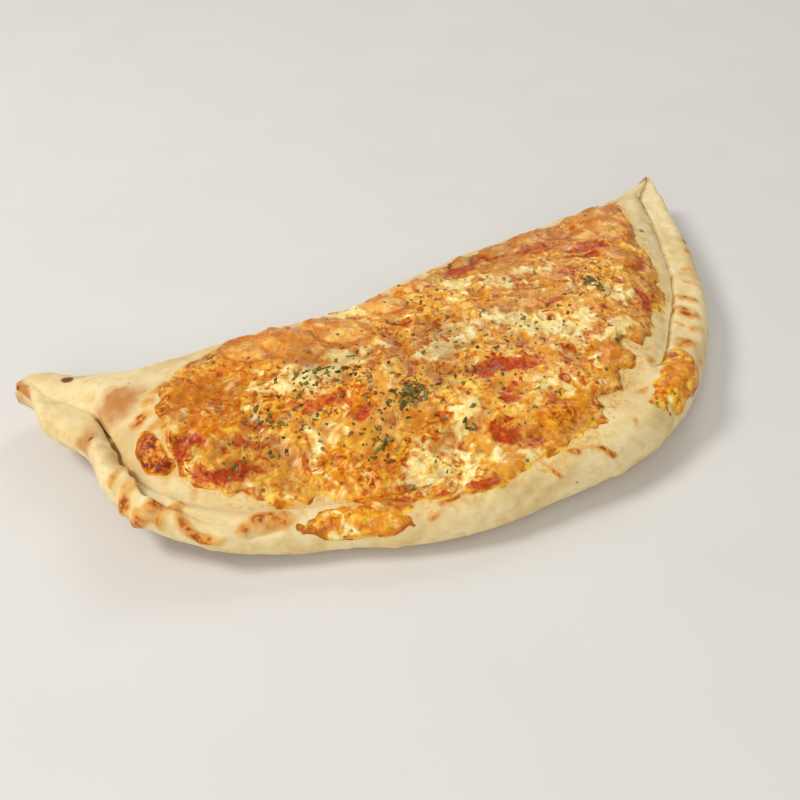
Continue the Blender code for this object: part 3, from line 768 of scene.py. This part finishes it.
def make_herbs(top, normals, inside, material):
    """Dried leaf flakes, each a small bent closed plate with a torn outline, lying on the cheese."""
    rng = np.random.default_rng(HERB_SEED)
    flat_top, flat_normals = top.reshape(-1, 3), normals.reshape(-1, 3)
    centred = flat_top + SHIFT
    unusable = np.where(inside.ravel() > HERB_MARGIN, 0, FAR_AWAY)
    points, faces, tones = [], [], []
    flakes = [(x, y, math.radians(turn), half) for x, y, turn, half in LEAVES]
    for x, y, spread, count in HERB_SPOTS:
        for _ in range(int(count * HERB_PLENTY)):
            spot = np.array([x, y]) + rng.normal(0, spread * 0.55, 2)
            half = 0.35 + 1.2 * rng.uniform(0, 1) ** 1.6 + 1.4 * rng.uniform(0, 1) ** 7
            flakes.append((spot[0], spot[1], rng.uniform(0, 2 * math.pi), half))
    for x, y, turn, long in flakes:
        place = int(np.argmin(np.hypot(centred[:, 0] - x, centred[:, 1] - y) + unusable))
        up = flat_normals[place] + rng.normal(0, 0.18, 3)
        up /= np.linalg.norm(up)
        other = np.cross(up, (math.cos(turn), math.sin(turn), 0.1))
        other /= np.linalg.norm(other)
        side = np.cross(other, up)
        wide = min(long * rng.uniform(0.35, 0.75), 1.1)
        thick, bend = rng.uniform(0.16, 0.28), rng.uniform(-0.1, 0.12)
        shaken = np.arange(FLAKE_CORNERS) + rng.uniform(-0.3, 0.3, FLAKE_CORNERS)
        angles = shaken * 2 * math.pi / FLAKE_CORNERS
        reach = rng.uniform(0.45, 1.15, FLAKE_CORNERS)
        a, b = long * reach * np.cos(angles), wide * reach * np.sin(angles)
        c = bend * a * a - 0.25 * b * b + rng.normal(0, 0.06, FLAKE_CORNERS)
        middle = flat_top[place] + up * HERB_REST
        ring = middle + a[:, None] * side + b[:, None] * other + c[:, None] * up
        start = len(points)
        for lid in (-thick, thick):
            points.append(middle + up * lid * 0.9)
            points.extend(ring + up * lid * 0.5)
        low, high = start + 1, start + FLAKE_CORNERS + 2
        for i in range(FLAKE_CORNERS):
            k = (i + 1) % FLAKE_CORNERS
            faces.append((start, low + k, low + i))
            faces.append((high - 1, high + i, high + k))
            faces.append((low + i, low + k, high + k, high + i))
        tones += [rng.uniform(0, 1)] * (2 * FLAKE_CORNERS + 2)
    new_mesh("herb_flakes", np.array(points), faces, material, (), {"tone": tones})


# ---- materials
def srgb(red, green, blue):
    """A shader's colour from screen values of 0 to 255."""
    values = [c / 255.0 for c in (red, green, blue)]
    return tuple(c / 12.92 if c <= 0.04045 else ((c + 0.055) / 1.055) ** 2.4 for c in values) + (1.0,)


BUMP_STRENGTH = 0.6


class Paint:
    """A material's node tree, built in short steps."""

    def __init__(self, name):
        self.material = bpy.data.materials.new(name)
        self.material.use_nodes = True
        self.tree = self.material.node_tree
        self.shader = self.tree.nodes["Principled BSDF"]
        self.place = self.node("TexCoord").outputs["Object"]
        self.colour = None

    def put(self, socket, value):
        """Sets an input to a value, or links it to a socket or to the attribute of that name."""
        if isinstance(value, str):
            value = self.attribute(value)
        if isinstance(value, bpy.types.NodeSocket):
            self.tree.links.new(value, socket)
        else:
            socket.default_value = value

    def node(self, kind, **inputs):
        """A new node and its inputs."""
        node = self.tree.nodes.new("ShaderNode" + kind)
        for name, value in inputs.items():
            self.put(node.inputs[name.replace("_", " ")], value)
        return node

    def attribute(self, name):
        node = self.node("Attribute")
        node.attribute_name = name
        return node.outputs["Fac"]

    def noise(self, size, detail=2.0, roughness=0.5, distortion=0.0):
        """Noise from 0 to 1 with features about size millimetres across."""
        return self.node(
            "TexNoise", Vector=self.place, Scale=1.0 / (size * MM), Detail=detail, Roughness=roughness,
            Distortion=distortion,
        ).outputs["Fac"]

    def spots(self, size, radius, soft):
        """1 inside small scattered spots, 0 outside."""
        cells = self.node("TexVoronoi", Vector=self.place, Scale=1.0 / (size * MM))
        return self.between(cells.outputs["Distance"], radius + soft, radius)

    def math(self, kind, a, b):
        node = self.node("Math")
        node.operation = kind
        self.put(node.inputs[0], a)
        self.put(node.inputs[1], b)
        return node.outputs[0]

    def add(self, a, b):
        return self.math("ADD", a, b)

    def times(self, a, b):
        return self.math("MULTIPLY", a, b)

    def stir(self, value, source, reach):
        """The value, moved up and down by a source that runs from 0 to 1."""
        return self.add(value, self.times(self.math("SUBTRACT", source, 0.5), reach))

    def between(self, value, low, high, to_low=0.0, to_high=1.0):
        """The value carried smoothly from one range to another, and held at its ends."""
        node = self.node("MapRange", Value=value, From_Min=low, From_Max=high, To_Min=to_low, To_Max=to_high)
        node.interpolation_type = "SMOOTHSTEP"
        return node.outputs["Result"]

    def ramp(self, value, *stops):
        """Colours along the value, each stop (position, red, green, blue)."""
        node = self.node("ValToRGB", Fac=value)
        elements = node.color_ramp.elements
        while len(elements) < len(stops):
            elements.new(0.5)
        for element, (position, *colour) in zip(elements, stops):
            element.position = position
            element.color = srgb(*colour)
        return node.outputs["Color"]

    def mix(self, share, a, b, kind="MIX"):
        node = self.node("Mix")
        node.data_type = "RGBA"
        node.blend_type = kind
        self.put(node.inputs["Factor"], share)
        self.put(node.inputs[6], a)
        self.put(node.inputs[7], b)
        return node.outputs[2]

    def lay(self, share, colour):
        """Lays a colour over the colours so far."""
        self.colour = self.mix(share, self.colour, colour)

    def deepen(self, power, tint):
        """Deepens the colours so far: each channel to a power, then times a tint."""
        gamma = self.node("Gamma", Color=self.colour, Gamma=power)
        self.colour = self.mix(1.0, gamma.outputs["Color"], tint, "MULTIPLY")

    def bump(self, height, distance):
        node = self.node("Bump", Height=height, Distance=distance * MM, Strength=BUMP_STRENGTH)
        self.put(self.shader.inputs["Normal"], node.outputs["Normal"])

    def finish(self, roughness, specular, subsurface=0.0, radius=(3.0, 1.6, 0.8)):
        inputs = self.shader.inputs
        self.put(inputs["Base Color"], self.colour)
        self.put(inputs["Roughness"], roughness)
        inputs["Specular IOR Level"].default_value = specular
        inputs["Subsurface Weight"].default_value = subsurface
        inputs["Subsurface Radius"].default_value = radius
        inputs["Subsurface Scale"].default_value = MM
        return self.material


def dough_material():
    p = Paint("baked_dough_skin")
    broad, middle, fine = p.noise(22.0, 3.0), p.noise(5.0, 3.0), p.noise(1.1)
    mixed = p.add(p.times(broad, 0.6), p.times(middle, 0.4))
    p.colour = p.ramp(
        mixed, (0.34, 218, 187, 125), (0.46, 233, 207, 147), (0.56, 243, 223, 171), (0.66, 230, 199, 134),
    )
    p.lay(p.between(fine, 0.58, 0.75, 0.0, 0.22), srgb(210, 172, 103))
    stained = p.times("stained", p.between(middle, 0.35, 0.6, 0.25, 1.0))
    streaks = p.noise(3.4, 3.0, 0.5, 1.5)
    stain = p.ramp(streaks, (0.38, 210, 137, 42), (0.46, 224, 178, 91), (0.56, 234, 204, 129))
    p.lay(p.times(stained, 0.8), stain)
    fleck = p.times(p.spots(9.0, 0.045, 0.04), p.between(broad, 0.48, 0.56))
    p.lay(p.times(fleck, 0.7), srgb(148, 90, 38))
    toasted = p.between(p.stir("toasted", middle, 0.7), 0.12, 0.85)
    toasted = p.times(toasted, p.between("toasted", 0.0, 0.12))
    p.lay(toasted, srgb(196, 129, 63))
    under = p.times("under", p.between(mixed, 0.38, 0.62, 0.25, 0.9))
    p.lay(under, srgb(190, 135, 70))
    browned = p.stir("browned", middle, 0.6)
    halo = p.times(p.between(browned, 0.08, 0.45), p.between("browned", 0.02, 0.2))
    p.lay(p.times(halo, 0.9), p.ramp(middle, (0.4, 217, 150, 62), (0.58, 234, 186, 104)))
    brown = p.ramp(p.noise(1.8), (0.38, 158, 74, 12), (0.5, 198, 110, 22), (0.62, 228, 158, 62))
    p.lay(p.times(p.between(browned, 0.4, 0.85), halo), brown)
    burnt = p.between(p.stir("burnt", fine, 0.4), 0.3, 0.75)
    p.lay(burnt, srgb(122, 62, 22))
    # Painted shade: the seam's crack is darkened brown.
    p.lay(p.times("crack", 0.65), srgb(140, 98, 48))
    p.bump(p.add(p.times(fine, 0.6), p.noise(0.5, 1.0)), 0.1)
    return p.finish(p.between(middle, 0.3, 0.7, 0.48, 0.64), 0.3, 0.15, (3.5, 2.0, 1.0))


def cheese_material():
    p = Paint("melted_cheese_skin")
    wide, middle = p.noise(14.0, 2.0, 0.5, 0.8), p.noise(8.5, 4.0, 0.55, 1.7)
    small, tiny = p.noise(4.0, 3.5, 0.6, 1.9), p.noise(0.9)
    mottle = p.add(p.times(small, 0.55), p.times(middle, 0.45))
    mottle = p.add(mottle, p.times("shred", 0.06))
    # Some stretches are calm and even, others strongly mottled.
    lively = p.between(p.noise(17.0, 2.0, 0.5, 0.6), 0.4, 0.6, 0.55, 1.35)
    mottle = p.stir(0.5, mottle, lively)
    p.colour = p.ramp(
        mottle, (0.33, 154, 62, 7), (0.4, 199, 108, 25), (0.47, 223, 150, 54), (0.54, 233, 178, 77),
        (0.61, 243, 208, 107),
    )
    pink = p.between(p.stir(p.noise(13.0), middle, 0.5), 0.5, 0.62, 0.0, 0.85)
    pinkish = p.ramp(
        mottle, (0.34, 150, 60, 18), (0.42, 192, 108, 48), (0.51, 216, 147, 77), (0.61, 235, 191, 111),
    )
    plain = p.between("golden", 0.2, 0.8, 1.0, 0.0)
    p.lay(p.times(pink, plain), pinkish)
    golden = p.stir(p.stir("golden", middle, 1.2), wide, 1.4)
    deep_gold = p.ramp(
        mottle, (0.33, 122, 42, 1), (0.39, 171, 74, 3), (0.46, 209, 119, 14), (0.53, 225, 149, 34),
        (0.61, 239, 189, 71),
    )
    p.lay(p.between(golden, 0.25, 0.7), deep_gold)
    cream = p.add(p.stir("cream", middle, 2.2), p.times("shred", 0.16))
    cream = p.add(cream, p.between(p.noise(11.0, 3.0, 0.5, 1.2), 0.48, 0.62, 0.0, 0.5))
    pale = p.ramp(
        mottle, (0.34, 221, 152, 68), (0.42, 239, 195, 112), (0.5, 247, 220, 154), (0.6, 251, 236, 194),
    )
    p.lay(p.between(cream, 0.3, 0.95), pale)
    sauce = p.stir("sauce", middle, 1.7)
    sauce = p.add(sauce, p.between(p.noise(9.0, 3.0, 0.5, 0.8), 0.58, 0.68, 0.0, 0.5))
    red = p.ramp(mottle, (0.34, 128, 30, 3), (0.42, 164, 50, 8), (0.5, 190, 74, 16), (0.6, 216, 120, 42))
    p.lay(p.between(sauce, 0.3, 0.66), red)
    # Swollen skin: smooth, darker on its crest, with a browned ring round it.
    even = p.add(p.times(wide, 0.6), p.times(small, 0.4))
    smooth = p.ramp(
        even, (0.38, 208, 118, 34), (0.45, 224, 148, 62), (0.53, 236, 174, 92), (0.61, 245, 204, 130),
    )
    crest = p.between(p.stir("crest", middle, 1.0), 0.2, 0.8, 0.0, 0.85)
    top = p.ramp(small, (0.38, 180, 84, 10), (0.5, 214, 122, 24), (0.62, 230, 152, 48))
    smooth = p.mix(crest, smooth, top)
    p.lay(p.between(p.stir("skin", middle, 0.4), 0.2, 0.55, 0.0, 0.92), smooth)
    ring = p.stir("skin", middle, 0.5)
    ring = p.times(p.between(ring, 0.08, 0.25), p.between(ring, 0.55, 0.3))
    p.lay(p.times(ring, 0.5), srgb(181, 79, 9))
    # Painted shade: the low hollows of the relief are darkened brown.
    p.lay(p.between("height", 0.05, 0.5, 0.5, 0.0), srgb(134, 58, 12))
    edge = p.between(p.stir("inside", middle, 0.5), 0.0, 0.42)
    rim = p.ramp(middle, (0.42, 182, 98, 16), (0.5, 214, 146, 44), (0.58, 234, 193, 83))
    p.colour = p.mix(edge, rim, p.colour)
    char = p.times(p.spots(4.6, 0.1, 0.14), p.between(middle, 0.47, 0.58))
    p.lay(p.times(char, 0.75), srgb(86, 30, 9))
    p.deepen(1.12, (1.14, 1.22, 1.08, 1.0))
    calm = p.between("skin", 0.2, 0.8, 1.0, 0.25)
    p.bump(p.times(p.add(small, p.times(tiny, 0.5)), calm), 0.4)
    return p.finish(p.between(tiny, 0.42, 0.62, 0.38, 0.1), 0.28, 0.05, (1.6, 0.8, 0.3))


def herb_material():
    p = Paint("dried_herb_skin")
    p.colour = p.ramp(
        "tone", (0.0, 80, 66, 26), (0.25, 112, 98, 42), (0.5, 142, 128, 62),
        (0.75, 170, 152, 88), (0.95, 140, 84, 30),
    )
    p.lay(p.between(p.noise(0.9), 0.4, 0.65, 0.0, 0.4), srgb(60, 50, 20))
    p.bump(p.noise(0.6), 0.12)
    return p.finish(p.between(p.noise(1.3), 0.3, 0.7, 0.6, 0.8), 0.2)


# ---- stage
# Places and sizes in metres, powers in watts, the lens and the sensor in millimetres.
AIM = (-0.0294, 0.0067, 0.0)
CAMERA_PLACE = (-0.19086, -0.24538, 0.24926)
LENS = 42.75
SENSOR_WIDTH = 36.0
# Each light: name, place, size across, power, colour.
LIGHTS = (
    ("key", (-0.9, 0.5, 1.2), 0.5, 12.0, (1.0, 0.97, 0.93)),
    ("back", (0.95, 0.8, 1.15), 0.7, 5.0, (1.0, 0.98, 0.95)),
    ("fill", (-0.85, -0.95, 0.8), 1.0, 7.5, (1.0, 0.99, 0.97)),
)
WORLD_COLOUR = (1.0, 0.985, 0.96, 1.0)
WORLD_STRENGTH = 0.36
FLOOR_REACH = 4.0
# A hair under the food, whose underside would otherwise lie in the floor's own plane.
FLOOR_HEIGHT = -0.0003


def show(thing, place):
    """Puts a light or the camera in the scene, aimed at the food."""
    thing.location = place
    thing.rotation_euler = (Vector(AIM) - Vector(place)).to_track_quat("-Z", "Y").to_euler()
    bpy.context.scene.collection.objects.link(thing)


def add_light(name, place, size, power, colour):
    data = bpy.data.lights.new(name, "AREA")
    data.shape = "DISK"
    data.size = size
    data.energy = power
    data.color = colour
    show(bpy.data.objects.new(name, data), place)


def add_floor():
    p = Paint("studio_floor")
    cloudy = p.between(p.noise(60.0), 0.3, 0.7, 0.0, 0.5)
    p.colour = p.mix(cloudy, srgb(226, 224, 220), srgb(222, 220, 216))
    corners = [(x * FLOOR_REACH, y * FLOOR_REACH, FLOOR_HEIGHT)
               for x, y in ((-1, -1), (1, -1), (1, 1), (-1, 1))]
    mesh = bpy.data.meshes.new("floor")
    mesh.from_pydata(corners, [], [(0, 1, 2, 3)])
    mesh.materials.append(p.finish(0.7, 0.2))
    floor = bpy.data.objects.new("floor", mesh)
    bpy.context.scene.collection.objects.link(floor)


def make_stage():
    """The floor, the soft lights and the camera."""
    add_floor()
    world = bpy.data.worlds.new("studio")
    world.use_nodes = True
    background = world.node_tree.nodes["Background"]
    background.inputs["Color"].default_value = WORLD_COLOUR
    background.inputs["Strength"].default_value = WORLD_STRENGTH
    bpy.context.scene.world = world
    for light in LIGHTS:
        add_light(*light)
    data = bpy.data.cameras.new("camera")
    data.lens = LENS
    data.sensor_width = SENSOR_WIDTH
    camera = bpy.data.objects.new("camera", data)
    show(camera, CAMERA_PLACE)
    bpy.context.scene.camera = camera
    bpy.context.scene.view_settings.view_transform = "Standard"


cheese = cheese_material()
make_dough(dough_material())
sheet_top, sheet_normals, sheet_inside = make_topping(cheese)
for patch, numbers in PATCHES.items():
    make_patch(patch, *numbers, cheese)
make_herbs(sheet_top, sheet_normals, sheet_inside, herb_material())
make_stage()
